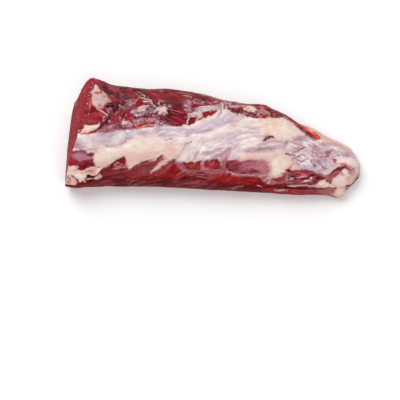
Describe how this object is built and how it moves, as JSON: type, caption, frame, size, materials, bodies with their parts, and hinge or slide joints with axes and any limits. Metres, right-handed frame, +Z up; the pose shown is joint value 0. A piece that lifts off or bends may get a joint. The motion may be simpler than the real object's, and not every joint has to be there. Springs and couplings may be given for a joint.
{
  "type": "yak tenderloin",
  "caption": "Raw boneless loin muscle, cut square at one end and tapering to a fatty tail, lying on its flat side with fat and silverskin uppermost.",
  "frame": {"origin": "middle of the bounding box's base, on the flat sole that the piece lies on", "axes": "+X from the cut end to the tapering tail, +Y towards the steep side, +Z up, out of the fat and silverskin side"},
  "size_m": [0.3004, 0.1194, 0.0616],
  "materials": {
    "lean_meat": "raw and moist, dark red with a fine grain along the muscle",
    "fat": "raw cream fat, soft and moist",
    "silverskin": "wet pearly membrane over red meat"
  },
  "bodies": {
    "root": {"tenderloin": "lean_meat"}
  },
  "joints": []
}
